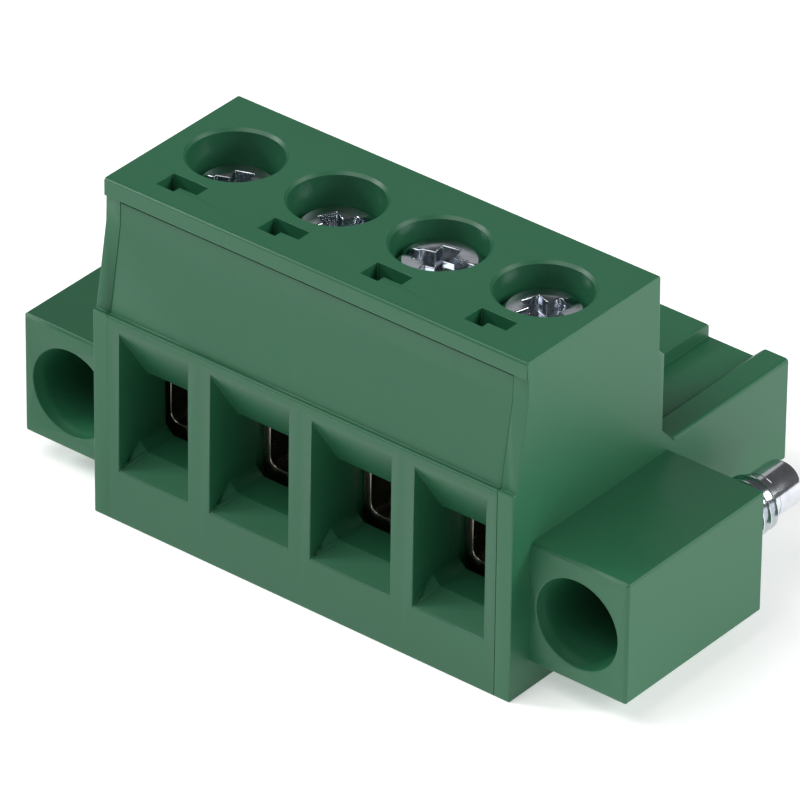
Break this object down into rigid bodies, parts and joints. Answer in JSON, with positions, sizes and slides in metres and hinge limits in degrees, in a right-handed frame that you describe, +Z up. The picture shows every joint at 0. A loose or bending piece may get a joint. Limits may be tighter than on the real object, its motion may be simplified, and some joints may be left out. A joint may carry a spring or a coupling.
{
  "type": "pluggable screw terminal block",
  "caption": "Green pluggable screw terminal block with rising-cage clamps, wire funnels and captive flange screws, for a pin header.",
  "frame": {"origin": "middle of the overall footprint, on the underside", "axes": "+X along the row of poles, +Y from the wire entries back to the plug, +Z up through the clamp screws"},
  "size_m": [0.0302, 0.0176, 0.015],
  "materials": {
    "housing_green": "moulded, fine satin",
    "cover_green": "moulded, fine satin",
    "cage_steel": "zinc plated",
    "clamp_screw_zinc": "bright zinc plated",
    "contact_tin": "tin plated",
    "flange_screw_zinc": "bright zinc plated"
  },
  "bodies": {
    "housing": {"housing": "housing_green", "flange_left": "housing_green", "flange_right": "housing_green", "front_cover": "cover_green", "wire_funnel_1": "cover_green", "wire_funnel_2": "cover_green", "wire_funnel_3": "cover_green", "wire_funnel_4": "cover_green", "contact_1": "contact_tin", "contact_2": "contact_tin", "contact_3": "contact_tin", "contact_4": "contact_tin"},
    "clamp_screw_1": {"clamp_screw_1": "clamp_screw_zinc"},
    "clamp_cage_1": {"clamp_cage_1": "cage_steel"},
    "clamp_screw_2": {"clamp_screw_2": "clamp_screw_zinc"},
    "clamp_cage_2": {"clamp_cage_2": "cage_steel"},
    "clamp_screw_3": {"clamp_screw_3": "clamp_screw_zinc"},
    "clamp_cage_3": {"clamp_cage_3": "cage_steel"},
    "clamp_screw_4": {"clamp_screw_4": "clamp_screw_zinc"},
    "clamp_cage_4": {"clamp_cage_4": "cage_steel"},
    "flange_screw_left": {"flange_screw_left": "flange_screw_zinc"},
    "flange_screw_right": {"flange_screw_right": "flange_screw_zinc"}
  },
  "joints": [
    {"name": "clamp_screw_1_turn", "type": "hinge", "parent": "housing", "child": "clamp_screw_1", "pos_m": [-0.00762, -0.00342, 0.0135], "axis": [0, 0, -1], "range_deg": [0, 2088]},
    {"name": "clamp_cage_1_rise", "type": "slide", "parent": "housing", "child": "clamp_cage_1", "axis": [0, 0, 1], "range_m": [0, 0.0029]},
    {"name": "clamp_screw_2_turn", "type": "hinge", "parent": "housing", "child": "clamp_screw_2", "pos_m": [-0.00254, -0.00342, 0.0135], "axis": [0, 0, -1], "range_deg": [0, 2088]},
    {"name": "clamp_cage_2_rise", "type": "slide", "parent": "housing", "child": "clamp_cage_2", "axis": [0, 0, 1], "range_m": [0, 0.0029]},
    {"name": "clamp_screw_3_turn", "type": "hinge", "parent": "housing", "child": "clamp_screw_3", "pos_m": [0.00254, -0.00342, 0.0135], "axis": [0, 0, -1], "range_deg": [0, 2088]},
    {"name": "clamp_cage_3_rise", "type": "slide", "parent": "housing", "child": "clamp_cage_3", "axis": [0, 0, 1], "range_m": [0, 0.0029]},
    {"name": "clamp_screw_4_turn", "type": "hinge", "parent": "housing", "child": "clamp_screw_4", "pos_m": [0.00762, -0.00342, 0.0135], "axis": [0, 0, -1], "range_deg": [0, 2088]},
    {"name": "clamp_cage_4_rise", "type": "slide", "parent": "housing", "child": "clamp_cage_4", "axis": [0, 0, 1], "range_m": [0, 0.0029]},
    {"name": "flange_screw_left_turn", "type": "hinge", "parent": "housing", "child": "flange_screw_left", "pos_m": [-0.01269, -0.00275, 0.00395], "axis": [0, 1, 0], "continuous": true},
    {"name": "flange_screw_right_turn", "type": "hinge", "parent": "housing", "child": "flange_screw_right", "pos_m": [0.01269, -0.00275, 0.00395], "axis": [0, 1, 0], "continuous": true}
  ],
  "couplings": [
    {"joint": "clamp_screw_1_turn", "follows": "clamp_cage_1_rise", "rad_per_m": 12566},
    {"joint": "clamp_screw_2_turn", "follows": "clamp_cage_2_rise", "rad_per_m": 12566},
    {"joint": "clamp_screw_3_turn", "follows": "clamp_cage_3_rise", "rad_per_m": 12566},
    {"joint": "clamp_screw_4_turn", "follows": "clamp_cage_4_rise", "rad_per_m": 12566}
  ]
}
